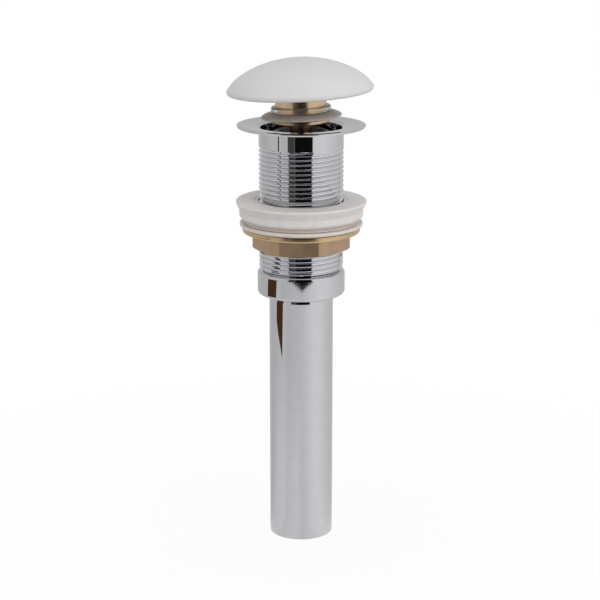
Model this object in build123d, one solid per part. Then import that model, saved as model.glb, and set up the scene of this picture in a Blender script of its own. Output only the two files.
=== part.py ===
from build123d import *
import math
import os

# Pop up basin waste for a basin without an overflow, G1 1/4 barrel, in millimetres.
# The origin is on the barrel's axis in the plane where the flange seats on the basin.
# +Z points up, out of the basin, and the user stands on the -Y side.
# It is drawn with the cap up, leaning a little in the slack of its stem, as in use.

# Flange, barrel and bore of the waste body
FLANGE_DIAMETER = 63.6
FLANGE_THICKNESS = 1.2
FLANGE_EDGE_ROUND = 0.5
MOUTH_DIAMETER = 44.8
MOUTH_DEPTH = 1.4
NECK_FILLET = 1.2
BARREL_DIAMETER = 41.9
BARREL_LENGTH = 71.6
THREAD_PITCH = 25.4 / 11
THREAD_DEPTH = 1.48
THREAD_TOP = 9.92
BARREL_WALL = 1.57
BARREL_CHAMFER = 0.6
CHAMBER_DEPTH = 9.2
SPIGOT_WALL = 1.1
SPIGOT_LENGTH = 5.9

# Bridge that carries the core across the bore
BRIDGE_RECESS = 3.5
BRIDGE_ARMS = 4
BRIDGE_ARM_WIDTH = 3.2
BRIDGE_ARM_DEPTH = 5.0
BRIDGE_ARM_RISE = 1.0
BRIDGE_HUB_DIAMETER = 15.0
BRIDGE_HUB_HEIGHT = 9.0
CORE_STUD_DIAMETER = 8.0

# Cap, its brass insert and the seal under it
CAP_DIAMETER = 72.0
CAP_DOME_HEIGHT = 15.3
CAP_DOME_POWER = 1.975
CAP_DOME_ROOT = 1.456
CAP_RIM_ROUND = 1.5
CAP_POCKET_DEPTH = 5.0
HEAD_LEAN = 2.5
HEAD_SLACK = 0.4
NECK_DIAMETER = 25.2
NECK_HEIGHT = 6.2
COLLAR_RING_DIAMETER = 29.4
COLLAR_RING_HEIGHT = 2.9
COLLAR_RING_GROOVE = 0.7
SEAL_DIAMETER = 39.9
SEAL_THICKNESS = 4.0
SEAL_LIP_DROP = 0.7
SEAL_LIP_THICKNESS = 0.6
SEAL_HUB_DIAMETER = 16.0
CARRIER_DIAMETER = 28.0
CARRIER_THICKNESS = 1.7
CARRIER_ROUND = 0.5
CAP_SCREW_DIAMETER = 8.0
CAP_SCREW_LENGTH = 12.0
CAP_SCREW_SLACK = 0.35

# Push-to-close core
PRESS_TRAVEL = 13.5
STEM_DIAMETER = 11.1
PIN_DIAMETER = 5.0
SLEEVE_BORE = 17.0
SLEEVE_WALL = 2.0
GLAND_ACROSS_FLATS = 19.0
GLAND_HEAD_HEIGHT = 4.5
GLAND_SKIRT_LENGTH = 5.0
GLAND_GAP = 1.7
WIPER_SECTION = 1.8
STEPS = 3
STEP_ANGLE = 60.0
LUG_ARC = 24.0
LUG_HEIGHT = 4.5
SLOT_SLACK = 2.0
RIB_CLEARANCE = 0.35
STOP_TOOTH = 3.0
INDEX_BODY_DIAMETER = 12.6
CROWN_HEIGHT = 6.7
ROTOR_HEIGHT = 10.25
ROTOR_WEB = 4.75
TOOTH_COUNT = 6
TOOTH_DEPTH = 1.2
TOOTH_INNER_DIAMETER = 6.6
SPRING_WIRE = 1.2
SPRING_TURNS = 8
SPRING_BORE = 6.7
CLIP_DIAMETER = 6.2
CLIP_THICKNESS = 0.6
CLIP_GROOVE = 0.5
PLUG_THICKNESS = 3.5
CORE_WASHER_THICKNESS = 1.0

# Gasket, washer and back nut that clamp the basin
GASKET_TOP = 36.4
GASKET_HEIGHT = 11.0
GASKET_RIM_DIAMETER = 64.9
GASKET_RIM_HEIGHT = 0.9
GASKET_WAIST_DIAMETER = 61.5
GASKET_FOOT_DIAMETER = 58.8
GASKET_TAPER_HEIGHT = 3.5
GASKET_WAIST_HEIGHT = 3.3
GASKET_FOOT_TAPER = 1.6
WASHER_DIAMETER = 61.2
WASHER_THICKNESS = 1.8
NUT_FLANGE_DIAMETER = 58.6
NUT_FLANGE_HEIGHT = 2.9
NUT_HEIGHT = 11.3
NUT_ACROSS_FLATS = 44.6
NUT_CORNER_DIAMETER = 48.6
NUT_CHAMFER = 0.8
NUT_EDGE_ROUND = 0.9
NUT_TURN = -2.9

# Tail tube and the collar that holds it
COLLAR_WALL = 2.8
COLLAR_HEIGHT = 12.0
COLLAR_CHAMFER = 1.0
COLLAR_LIP = 2.9
TUBE_DIAMETER = 32.0
TUBE_WALL = 1.0
TUBE_LENGTH = 131.6
TUBE_SEAT_RISE = 0.25
FLARE_THICKNESS = 1.4
TAIL_SEAL_THICKNESS = 1.9

# Clearances between pieces
THREAD_CLEARANCE = 0.05
SLIDE_CLEARANCE = 0.06
FACE_GAP = 0.1
REST_GAP = 0.3
SOFT_CLEARANCE = 0.3
SEAL_CLEARANCE = 0.25
INDEX_CLEARANCE = 0.25
TOOTH_GAP = 0.25
ROOT_OVERLAP = 0.3

# Radii that several pieces share
BARREL_R = BARREL_DIAMETER / 2
BORE_R = BARREL_R - THREAD_DEPTH - BARREL_WALL
CHAMBER_R = SEAL_DIAMETER / 2 + SEAL_CLEARANCE
SPIGOT_R = BORE_R + SPIGOT_WALL
COLLAR_THREAD_R = SPIGOT_R + THREAD_CLEARANCE
COLLAR_R = COLLAR_THREAD_R + COLLAR_WALL
FLARE_R = SPIGOT_R - SOFT_CLEARANCE
STEM_R = STEM_DIAMETER / 2
PIN_R = PIN_DIAMETER / 2
SLEEVE_BORE_R = SLEEVE_BORE / 2
SLEEVE_R = SLEEVE_BORE_R + SLEEVE_WALL
INDEX_BODY_R = INDEX_BODY_DIAMETER / 2
INDEX_TIP_R = SLEEVE_BORE_R - INDEX_CLEARANCE
CORE_STUD_R = CORE_STUD_DIAMETER / 2 - THREAD_CLEARANCE
CAP_SCREW_R = CAP_SCREW_DIAMETER / 2
NECK_R = NECK_DIAMETER / 2
SPRING_MEAN_R = SPRING_BORE / 2 + SPRING_WIRE / 2

# Heights of the head, from the closed seat upwards
SEAL_LIP_Z = PRESS_TRAVEL - CHAMBER_DEPTH + REST_GAP
SEAL_LOW = SEAL_LIP_Z - SEAL_LIP_DROP
SEAL_HIGH = SEAL_LOW + SEAL_THICKNESS
CARRIER_LOW = SEAL_LOW - CARRIER_THICKNESS
COLLAR_RING_HIGH = SEAL_HIGH + COLLAR_RING_HEIGHT
CAP_LOW = COLLAR_RING_HIGH + NECK_HEIGHT
CAP_RIM_Z = CAP_LOW + CAP_RIM_ROUND
LEAN_PIVOT_Z = (SEAL_LOW + SEAL_HIGH) / 2
STEM_TOP = CARRIER_LOW - HEAD_SLACK

# Heights of the core's foot, from the spigot's end upwards
SPIGOT_LOW = -BARREL_LENGTH - SPIGOT_LENGTH
HUB_LOW = SPIGOT_LOW + BRIDGE_RECESS
HUB_TOP = HUB_LOW + BRIDGE_HUB_HEIGHT
PLUG_LOW = HUB_TOP + CORE_WASHER_THICKNESS
PLUG_TOP = PLUG_LOW + PLUG_THICKNESS

# Heights of the core's moving pieces, from the closed carrier downwards
GLAND_TOP = CARRIER_LOW - PRESS_TRAVEL - GLAND_GAP
SLEEVE_TOP = GLAND_TOP - GLAND_HEAD_HEIGHT
GLAND_LOW = SLEEVE_TOP - GLAND_SKIRT_LENGTH
CROWN_TOP = GLAND_LOW - REST_GAP
CROWN_LOW = CROWN_TOP - CROWN_HEIGHT
ROTOR_TOP = CROWN_LOW - TOOTH_GAP
ROTOR_LOW = ROTOR_TOP - ROTOR_HEIGHT
WEB_LOW = ROTOR_TOP - ROTOR_WEB
LUG_TOP = ROTOR_TOP - RIB_CLEARANCE / 2
CLIP_TOP = WEB_LOW - REST_GAP
PIN_LOW = CLIP_TOP - 2 * CLIP_THICKNESS
SPRING_TOP = WEB_LOW - FACE_GAP

# The lugs follow one helical ramp over the whole press
RAMP = PRESS_TRAVEL / STEP_ANGLE
LUG_HALF = LUG_ARC / 2
SLOT_HALF = LUG_HALF + SLOT_SLACK
RIB_LOW = LUG_TOP - RAMP * LUG_ARC - PRESS_TRAVEL - STOP_TOOTH

# Heights of the clamp set and of the tail, below the flange
GASKET_LOW = -GASKET_TOP - GASKET_HEIGHT
WASHER_TOP = GASKET_LOW - FACE_GAP
WASHER_LOW = WASHER_TOP - WASHER_THICKNESS
NUT_TOP = WASHER_LOW - FACE_GAP
NUT_LOW = NUT_TOP - NUT_HEIGHT
TAIL_SEAL_TOP = SPIGOT_LOW - FACE_GAP
TAIL_SEAL_LOW = TAIL_SEAL_TOP - TAIL_SEAL_THICKNESS
FLARE_LOW = TAIL_SEAL_LOW - FLARE_THICKNESS
TUBE_END = TAIL_SEAL_LOW - TUBE_LENGTH
LIP_TOP = FLARE_LOW - FACE_GAP
COLLAR_LOW = LIP_TOP - COLLAR_LIP
COLLAR_TOP = COLLAR_LOW + COLLAR_HEIGHT


def turned(*outline):
    """Solid turned about Z from a closed outline of (radius, height) points."""
    return revolve(Plane.XZ * make_face(Polyline(*outline, close=True)), Axis.Z)


def ring(inner, outer, low, high):
    """Plain ring or tube between two radii and two heights."""
    return turned((inner, low), (outer, low), (outer, high), (inner, high))


def disc(radius, low, high):
    """Plain disc or rod."""
    return turned((0, low), (radius, low), (radius, high), (0, high))


def rims(solid, radius, height):
    """Circular edges of a turned solid at one radius and height."""
    circles = solid.edges().filter_by(GeomType.CIRCLE)
    return circles.filter_by(
        lambda edge: abs(edge.radius - radius) < 0.01 and abs(edge.arc_center.Z - height) < 0.01
    )


def sector(inner, outer, low, high, start, end):
    """Part of a ring between two angles in degrees."""
    section = Plane.XZ * make_face(
        Polyline((inner, low), (outer, low), (outer, high), (inner, high), close=True)
    )
    return Rot(0, 0, start) * revolve(section, Axis.Z, revolution_arc=end - start)


def ramp_block(inner, outer, top, height, start, end, ramp):
    """Part of a ring whose top and bottom fall by a ramp in mm per degree from start to end."""
    span = end - start
    middle = (inner + outer) / 2
    path = Helix(pitch=ramp * 360, height=ramp * span, radius=middle, lefthand=True)
    section = Pos(middle, 0, -height / 2) * (Plane.XZ * Rectangle(outer - inner, height))
    block = sweep(section, path=path, is_frenet=True)
    return Pos(0, 0, top - ramp * span) * Rot(0, 0, end) * block


def leaned(piece):
    """Piece of the head, leaned to the left about the slack thread on the stem."""
    return Pos(0, 0, LEAN_PIVOT_Z) * Rot(0, -HEAD_LEAN, 0) * Pos(0, 0, -LEAN_PIVOT_Z) * piece


# Waste body: flange, threaded barrel, seat and bridge in one brass casting


def make_bridge():
    """Hub on rounded arms, set between the straight ways through the bore."""
    hub = disc(BRIDGE_HUB_DIAMETER / 2, HUB_LOW, HUB_TOP)
    root = (BRIDGE_HUB_DIAMETER + CORE_STUD_DIAMETER) / 4
    reach = BORE_R + ROOT_OVERLAP - root
    arm = extrude(Plane.YZ * SlotOverall(BRIDGE_ARM_DEPTH, BRIDGE_ARM_WIDTH, rotation=90), reach)
    arm = Pos(root, 0, HUB_LOW + BRIDGE_ARM_RISE + BRIDGE_ARM_DEPTH / 2) * arm
    for index in range(BRIDGE_ARMS):
        hub += Rot(0, 0, 360 / BRIDGE_ARMS * (index + 0.5)) * arm
    return hub - disc(CORE_STUD_DIAMETER / 2, HUB_LOW - 1, HUB_TOP + 1)


def thread_corners():
    """Corners of the barrel's thread, as rings at its pitch under a shallow run-out."""
    flat = THREAD_PITCH / 12
    mouth = THREAD_PITCH / 2 - flat
    length = BARREL_LENGTH - BARREL_CHAMFER - THREAD_TOP - mouth - FACE_GAP / 2
    corners = []
    for index in range(int(length / THREAD_PITCH) + 1):
        middle = -THREAD_TOP - index * THREAD_PITCH
        root = BARREL_R - (THREAD_DEPTH if index else THREAD_DEPTH / 2)
        corners += [(BARREL_R, middle + mouth), (root, middle + flat)]
        corners += [(root, middle - flat), (BARREL_R, middle - mouth)]
    return corners


def make_waste_body():
    """Flange with a bevelled mouth, plain neck, threaded barrel and spigot."""
    seat_low = -CHAMBER_DEPTH - (CHAMBER_R - BORE_R)
    body = turned(
        (MOUTH_DIAMETER / 2, FLANGE_THICKNESS),
        (FLANGE_DIAMETER / 2, FLANGE_THICKNESS),
        (FLANGE_DIAMETER / 2, 0),
        (BARREL_R, 0),
        *thread_corners(),
        (BARREL_R, BARREL_CHAMFER - BARREL_LENGTH),
        (BARREL_R - BARREL_CHAMFER, -BARREL_LENGTH),
        (SPIGOT_R, -BARREL_LENGTH),
        (SPIGOT_R, SPIGOT_LOW),
        (BORE_R, SPIGOT_LOW),
        (BORE_R, seat_low),
        (CHAMBER_R, -CHAMBER_DEPTH),
        (CHAMBER_R, FLANGE_THICKNESS - MOUTH_DEPTH),
    )
    body = fillet(rims(body, FLANGE_DIAMETER / 2, FLANGE_THICKNESS), FLANGE_EDGE_ROUND)
    body = fillet(rims(body, BARREL_R, 0), NECK_FILLET)
    return body + make_bridge()


# Core: a sleeve with index ribs, a guided stem, and a rotor that steps under the ribs


def make_core_sleeve():
    """Tube with saw-toothed ribs inside that the rotor's lugs run under."""
    sleeve = ring(SLEEVE_BORE_R, SLEEVE_R, PLUG_LOW, SLEEVE_TOP)
    rib_inner = INDEX_BODY_R + INDEX_CLEARANCE
    rib_outer = SLEEVE_BORE_R + ROOT_OVERLAP
    pitch = 360 / STEPS
    ramp_top = LUG_TOP + RIB_CLEARANCE - RAMP * SLOT_SLACK - RAMP * LUG_ARC
    relief = ramp_block(
        rib_inner - 1,
        rib_outer + 1,
        ramp_top,
        ramp_top - RIB_LOW + 1,
        SLOT_HALF,
        SLOT_HALF + STEP_ANGLE,
        RAMP,
    )
    rib = sector(rib_inner, rib_outer, RIB_LOW, GLAND_LOW, SLOT_HALF, pitch - SLOT_HALF) - relief
    for index in range(STEPS):
        sleeve += Rot(0, 0, pitch * index) * rib
    return sleeve


def make_core_gland():
    """Hexagon-headed guide bush screwed into the sleeve, with a groove for the wiper ring."""
    head = extrude(RegularPolygon(GLAND_ACROSS_FLATS / 2, 6, major_radius=False), GLAND_HEAD_HEIGHT)
    gland = Pos(0, 0, SLEEVE_TOP) * head
    gland += disc(SLEEVE_BORE_R - THREAD_CLEARANCE, GLAND_LOW, SLEEVE_TOP)
    gland -= disc(STEM_R + SLIDE_CLEARANCE, GLAND_LOW - 1, GLAND_TOP + 1)
    groove = WIPER_SECTION / 2 + FACE_GAP
    middle = (GLAND_TOP + SLEEVE_TOP) / 2
    return gland - ring(STEM_R, STEM_R + 2 * groove, middle - groove, middle + groove)


def make_stem_wiper():
    """Rubber ring that keeps grit out of the core."""
    middle = (GLAND_TOP + SLEEVE_TOP) / 2
    section_r = WIPER_SECTION / 2
    return Pos(0, 0, middle) * Torus(STEM_R + SLIDE_CLEARANCE + section_r, section_r)


def make_core_stud():
    """Plug that closes the sleeve, with the screw that holds the core in the bridge."""
    stud = disc(SLEEVE_BORE_R - THREAD_CLEARANCE, PLUG_LOW, PLUG_TOP)
    return stud + disc(CORE_STUD_R, HUB_LOW - CORE_WASHER_THICKNESS, PLUG_LOW)


def make_core_washer():
    """Fibre washer between the core and the bridge's hub."""
    return ring(CORE_STUD_DIAMETER / 2, BRIDGE_HUB_DIAMETER / 2, HUB_TOP, PLUG_LOW)


def make_plunger():
    """Stem with the cap's screw on top and a thin pin below that carries crown and rotor."""
    plunger = disc(STEM_R, CROWN_TOP, STEM_TOP)
    plunger += disc(CAP_SCREW_R, STEM_TOP, STEM_TOP + CAP_SCREW_LENGTH)
    plunger += disc(PIN_R, PIN_LOW, CROWN_TOP)
    return plunger - ring(PIN_R - CLIP_GROOVE, PIN_R + 1, CLIP_TOP - CLIP_THICKNESS, CLIP_TOP)


def make_index_crown():
    """Toothed crown whose keys slide between the ribs, so it never turns."""
    root = CROWN_LOW + TOOTH_DEPTH
    crown = disc(INDEX_BODY_R, root, CROWN_TOP)
    tooth_arc = 360 / TOOTH_COUNT
    tooth = ramp_block(
        TOOTH_INNER_DIAMETER / 2,
        INDEX_BODY_R,
        root + TOOTH_DEPTH,
        TOOTH_DEPTH,
        0,
        tooth_arc,
        TOOTH_DEPTH / tooth_arc,
    )
    for index in range(TOOTH_COUNT):
        crown += Rot(0, 0, tooth_arc * index) * tooth
    key_low = LUG_TOP + 2 * RIB_CLEARANCE
    key = sector(INDEX_BODY_R - ROOT_OVERLAP, INDEX_TIP_R, key_low, CROWN_TOP, -LUG_HALF, LUG_HALF)
    for index in range(STEPS):
        crown += Rot(0, 0, 360 / STEPS * index) * key
    return crown - disc(PIN_R + THREAD_CLEARANCE, CROWN_LOW - 1, CROWN_TOP + 1)


def make_index_rotor():
    """Rotor with saw teeth on top and slanted lugs that ride along the ribs' ramps."""
    root = ROTOR_TOP - TOOTH_DEPTH
    rotor = disc(INDEX_BODY_R, ROTOR_LOW, root)
    tooth_arc = 360 / TOOTH_COUNT
    tooth = ramp_block(
        TOOTH_INNER_DIAMETER / 2,
        INDEX_BODY_R,
        ROTOR_TOP,
        2 * TOOTH_DEPTH,
        0,
        tooth_arc,
        TOOTH_DEPTH / tooth_arc,
    )
    for index in range(TOOTH_COUNT):
        rotor += Rot(0, 0, tooth_arc * index) * tooth
    lug_inner = INDEX_BODY_R - ROOT_OVERLAP
    lug = ramp_block(lug_inner, INDEX_TIP_R, LUG_TOP, LUG_HEIGHT, -LUG_HALF, LUG_HALF, RAMP)
    for index in range(STEPS):
        rotor += Rot(0, 0, 360 / STEPS * index) * lug
    rotor -= disc(SPRING_MEAN_R + SPRING_WIRE / 2 + INDEX_CLEARANCE, ROTOR_LOW - 1, WEB_LOW)
    return rotor - disc(PIN_R + SLIDE_CLEARANCE, WEB_LOW - 1, ROTOR_TOP + 1)


def make_rotor_clip():
    """Split retaining ring in the pin's groove that keeps the rotor on."""
    clip_inner = PIN_R - CLIP_GROOVE
    clip = ring(clip_inner, CLIP_DIAMETER / 2, CLIP_TOP - CLIP_THICKNESS, CLIP_TOP)
    gap = Box(CLIP_DIAMETER, clip_inner, 2 * CLIP_THICKNESS, align=(Align.MIN, Align.CENTER, Align.CENTER))
    return clip - Pos(0, 0, CLIP_TOP - CLIP_THICKNESS / 2) * gap


def make_core_spring():
    """Compression spring between the rotor's web and the plug."""
    wire_r = SPRING_WIRE / 2
    low = PLUG_TOP + FACE_GAP + wire_r
    height = SPRING_TOP - wire_r - low
    path = Helix(pitch=height / SPRING_TURNS, height=height, radius=SPRING_MEAN_R)
    section = Pos(SPRING_MEAN_R, 0, 0) * (Plane.XZ * Circle(wire_r))
    return Pos(0, 0, low) * sweep(section, path=path, is_frenet=True)


# Head: the ceramic cap on its brass insert, with the seal clamped under it


def make_ceramic_cap():
    """Domed ceramic disc with a pocket for the brass insert."""
    radius = CAP_DIAMETER / 2
    samples = 8
    dome_points = []
    for index in range(samples + 1):
        r = radius * math.sin(math.pi / 2 * index / samples)
        rise = (1 - (r / radius) ** CAP_DOME_POWER) ** (1 / CAP_DOME_ROOT)
        dome_points.append((r, CAP_RIM_Z + CAP_DOME_HEIGHT * rise))
    dome = Spline(*dome_points, tangents=[(1, 0), (0, -1)])
    rim = RadiusArc((radius, CAP_RIM_Z), (radius - CAP_RIM_ROUND, CAP_LOW), CAP_RIM_ROUND)
    base = Polyline((radius - CAP_RIM_ROUND, CAP_LOW), (0, CAP_LOW), (0, CAP_RIM_Z + CAP_DOME_HEIGHT))
    cap = revolve(Plane.XZ * make_face([dome, rim, *base.edges()]), Axis.Z)
    return cap - disc(NECK_R + FACE_GAP, CAP_LOW - 1, CAP_LOW + CAP_POCKET_DEPTH)


def make_cap_insert():
    """Brass boss glued into the cap, with the thread for the stem's screw."""
    groove_r = NECK_R - COLLAR_RING_GROOVE
    insert = turned(
        (0, SEAL_HIGH),
        (groove_r, SEAL_HIGH),
        (groove_r, COLLAR_RING_HIGH),
        (NECK_R, COLLAR_RING_HIGH),
        (NECK_R, CAP_LOW + CAP_POCKET_DEPTH - FACE_GAP),
        (0, CAP_LOW + CAP_POCKET_DEPTH - FACE_GAP),
    )
    hole_top = STEM_TOP + CAP_SCREW_LENGTH + HEAD_SLACK
    return insert - disc(CAP_SCREW_R + CAP_SCREW_SLACK, SEAL_HIGH - 1, hole_top)


def make_neck_ring():
    """Clear silicone ring in the insert's groove."""
    inner = NECK_R - COLLAR_RING_GROOVE
    bulge = COLLAR_RING_DIAMETER / 2
    side = COLLAR_RING_HEIGHT / 2
    outline = [
        Line((inner, COLLAR_RING_HIGH), (inner, SEAL_HIGH)),
        Line((inner, SEAL_HIGH), (bulge - side / 2, SEAL_HIGH)),
        ThreePointArc(
            (bulge - side / 2, SEAL_HIGH), (bulge, SEAL_HIGH + side), (bulge - side / 2, COLLAR_RING_HIGH)
        ),
        Line((bulge - side / 2, COLLAR_RING_HIGH), (inner, COLLAR_RING_HIGH)),
    ]
    return revolve(Plane.XZ * make_face(outline), Axis.Z)


def make_head_seal():
    """Domed silicone disc that enters the mouth and seals in the chamber."""
    lip_r = SEAL_DIAMETER / 2
    hub_r = SEAL_HUB_DIAMETER / 2
    shoulder_r = COLLAR_RING_DIAMETER / 2
    lip_top = SEAL_LIP_Z + SEAL_LIP_THICKNESS
    base_r = lip_r - 2 * SEAL_LIP_DROP
    outline = [
        Line((hub_r, SEAL_HIGH), (hub_r, SEAL_LOW)),
        Line((hub_r, SEAL_LOW), (base_r, SEAL_LOW)),
        Line((base_r, SEAL_LOW), (lip_r, SEAL_LIP_Z)),
        Line((lip_r, SEAL_LIP_Z), (lip_r, lip_top)),
        Spline((lip_r, lip_top), (shoulder_r, SEAL_HIGH), tangents=[(-0.35, 1), (-1, 0.05)]),
        Line((shoulder_r, SEAL_HIGH), (hub_r, SEAL_HIGH)),
    ]
    return revolve(Plane.XZ * make_face(outline), Axis.Z)


def make_seal_carrier():
    """Flanged brass nut that clamps the seal against the insert."""
    carrier = disc(CARRIER_DIAMETER / 2, CARRIER_LOW, SEAL_LOW)
    carrier = fillet(rims(carrier, CARRIER_DIAMETER / 2, CARRIER_LOW), CARRIER_ROUND)
    carrier += disc(SEAL_HUB_DIAMETER / 2 - THREAD_CLEARANCE, SEAL_LOW, SEAL_HIGH)
    return carrier - disc(CAP_SCREW_R + CAP_SCREW_SLACK, CARRIER_LOW - 1, SEAL_HIGH + 1)


# Clamp set under the basin: tapered gasket, slip washer and back nut


def make_tapered_gasket():
    """Soft ring with a wide top rim, a waist and a narrower foot."""
    inner = BARREL_R + SOFT_CLEARANCE
    rim_low = -GASKET_TOP - GASKET_RIM_HEIGHT
    waist_top = rim_low - GASKET_TAPER_HEIGHT
    waist_low = waist_top - GASKET_WAIST_HEIGHT
    return turned(
        (inner, -GASKET_TOP),
        (GASKET_RIM_DIAMETER / 2, -GASKET_TOP),
        (GASKET_RIM_DIAMETER / 2, rim_low),
        (GASKET_WAIST_DIAMETER / 2, waist_top),
        (GASKET_WAIST_DIAMETER / 2, waist_low),
        (GASKET_FOOT_DIAMETER / 2, waist_low - GASKET_FOOT_TAPER),
        (GASKET_FOOT_DIAMETER / 2, GASKET_LOW),
        (inner, GASKET_LOW),
    )


def make_slip_washer():
    """Smooth washer that lets the nut turn without dragging the gasket."""
    return ring(BARREL_R + SOFT_CLEARANCE, WASHER_DIAMETER / 2, WASHER_LOW, WASHER_TOP)


def make_back_nut():
    """Flanged hexagon nut with its corners turned off."""
    corner_r = NUT_CORNER_DIAMETER / 2
    flange_low = NUT_TOP - NUT_FLANGE_HEIGHT
    hexagon = RegularPolygon(NUT_ACROSS_FLATS / 2, 6, major_radius=False, rotation=NUT_TURN)
    nut = Pos(0, 0, NUT_LOW) * extrude(hexagon, NUT_HEIGHT - NUT_FLANGE_HEIGHT / 2)
    nut &= turned(
        (0, NUT_LOW),
        (corner_r - NUT_CHAMFER, NUT_LOW),
        (corner_r, NUT_LOW + NUT_CHAMFER / 2),
        (corner_r, NUT_TOP),
        (0, NUT_TOP),
    )
    flange = disc(NUT_FLANGE_DIAMETER / 2, flange_low, NUT_TOP)
    for height in (flange_low, NUT_TOP):
        flange = fillet(rims(flange, NUT_FLANGE_DIAMETER / 2, height), NUT_EDGE_ROUND)
    return nut + flange - disc(BARREL_R + THREAD_CLEARANCE, NUT_LOW - 1, NUT_TOP + 1)


# Tail: flared tube, flat seal and the collar that screws onto the spigot


def make_tail_tube():
    """Straight tube with a flat flare on top that the collar pulls up."""
    tube_r = TUBE_DIAMETER / 2
    seat_r = tube_r + TUBE_SEAT_RISE
    bore = tube_r - TUBE_WALL
    return turned(
        (bore, TUBE_END),
        (tube_r, TUBE_END),
        (tube_r, COLLAR_LOW),
        (seat_r, COLLAR_LOW),
        (seat_r, FLARE_LOW),
        (FLARE_R, FLARE_LOW),
        (FLARE_R, TAIL_SEAL_LOW),
        (bore, TAIL_SEAL_LOW),
    )


def make_tail_seal():
    """Flat rubber ring between the flare and the end of the spigot."""
    return ring(TUBE_DIAMETER / 2 - TUBE_WALL, FLARE_R, TAIL_SEAL_LOW, TAIL_SEAL_TOP)


def make_coupling_collar():
    """Smooth collar with a thread above and a lip that holds the flare below."""
    lip_r = TUBE_DIAMETER / 2 + TUBE_SEAT_RISE + SLIDE_CLEARANCE
    collar = turned(
        (lip_r, COLLAR_LOW),
        (COLLAR_R, COLLAR_LOW),
        (COLLAR_R, COLLAR_TOP),
        (COLLAR_THREAD_R, COLLAR_TOP),
        (COLLAR_THREAD_R, LIP_TOP),
        (lip_r, LIP_TOP),
    )
    for height in (COLLAR_LOW, COLLAR_TOP):
        collar = chamfer(rims(collar, COLLAR_R, height), COLLAR_CHAMFER)
    return collar


PIECES = {
    "waste_body": make_waste_body(),
    "core_sleeve": make_core_sleeve(),
    "core_gland": make_core_gland(),
    "stem_wiper": make_stem_wiper(),
    "core_stud": make_core_stud(),
    "core_washer": make_core_washer(),
    "core_spring": make_core_spring(),
    "plunger": make_plunger(),
    "index_crown": make_index_crown(),
    "rotor_clip": make_rotor_clip(),
    "index_rotor": make_index_rotor(),
    "ceramic_cap": leaned(make_ceramic_cap()),
    "cap_insert": leaned(make_cap_insert()),
    "neck_ring": leaned(make_neck_ring()),
    "head_seal": leaned(make_head_seal()),
    "seal_carrier": leaned(make_seal_carrier()),
    "tapered_gasket": make_tapered_gasket(),
    "slip_washer": make_slip_washer(),
    "back_nut": make_back_nut(),
    "tail_tube": make_tail_tube(),
    "tail_seal": make_tail_seal(),
    "coupling_collar": make_coupling_collar(),
}

os.makedirs("parts", exist_ok=True)
for name, piece in PIECES.items():
    export_step(piece, f"parts/{name}.step")
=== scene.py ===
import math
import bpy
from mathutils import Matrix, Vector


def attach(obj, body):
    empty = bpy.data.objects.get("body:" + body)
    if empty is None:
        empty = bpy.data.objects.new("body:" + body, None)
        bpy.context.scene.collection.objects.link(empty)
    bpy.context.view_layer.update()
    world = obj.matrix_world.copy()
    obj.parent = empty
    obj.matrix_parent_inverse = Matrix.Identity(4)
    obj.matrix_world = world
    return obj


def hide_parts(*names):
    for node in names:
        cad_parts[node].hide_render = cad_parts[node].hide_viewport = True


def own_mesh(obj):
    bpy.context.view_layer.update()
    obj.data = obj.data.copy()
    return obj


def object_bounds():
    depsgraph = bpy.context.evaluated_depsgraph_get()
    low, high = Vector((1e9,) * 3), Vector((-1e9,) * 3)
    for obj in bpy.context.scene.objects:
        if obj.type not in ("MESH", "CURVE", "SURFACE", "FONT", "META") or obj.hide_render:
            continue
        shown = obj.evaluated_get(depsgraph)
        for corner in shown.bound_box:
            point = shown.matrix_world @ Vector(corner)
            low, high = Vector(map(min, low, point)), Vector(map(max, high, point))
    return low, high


bl_info = {
    "name": "Pop up basin waste",
    "version": (1, 0, 0),
    "blender": (4, 5, 0),
    "location": "3D View > Sidebar > Basin waste",
    "description": "Dresses the CAD frame of a push-to-close basin waste with its real surfaces",
    "category": "Object",
}

import bmesh
import bpy
from bpy.props import FloatProperty, FloatVectorProperty, IntProperty, PointerProperty
from mathutils import Matrix, Vector

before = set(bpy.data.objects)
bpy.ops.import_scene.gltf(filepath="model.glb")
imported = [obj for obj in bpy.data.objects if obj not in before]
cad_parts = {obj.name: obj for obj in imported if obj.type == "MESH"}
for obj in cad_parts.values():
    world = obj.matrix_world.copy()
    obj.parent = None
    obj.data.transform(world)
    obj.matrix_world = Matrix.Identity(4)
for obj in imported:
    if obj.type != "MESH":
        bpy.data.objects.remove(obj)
cad_low, cad_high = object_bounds()

MM = 0.001  # in metres
ROUND = 168  # facets round a turned piece
COARSE_ROUND = 96  # facets round a hidden or far one
FLOOR_Z = cad_low.z
MERGE_DISTANCE = 2e-6  # metres
SLIVER = 1e-7  # metres


# Sizes and colours that a user would change


def length(name, description, millimetres):
    """Length property, shown in metres or in the scene's own unit."""
    return FloatProperty(
        name=name,
        description=description,
        default=millimetres * MM,
        min=0.0,
        unit="LENGTH",
        precision=5,
    )


def height(name, description, millimetres):
    """Height on the barrel's axis, below zero under the flange."""
    return FloatProperty(
        name=name, description=description, default=millimetres * MM, unit="LENGTH", precision=5
    )


def whole(name, description, number, least, most):
    """Whole number, such as facets, turns or arms."""
    return IntProperty(name=name, description=description, default=number, min=least, max=most)


def tone(name, description, colour):
    """Surface colour, as it is written in the shader."""
    return FloatVectorProperty(
        name=name, description=description, default=colour, subtype="COLOR", size=3, min=0.0, max=1.0
    )


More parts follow.
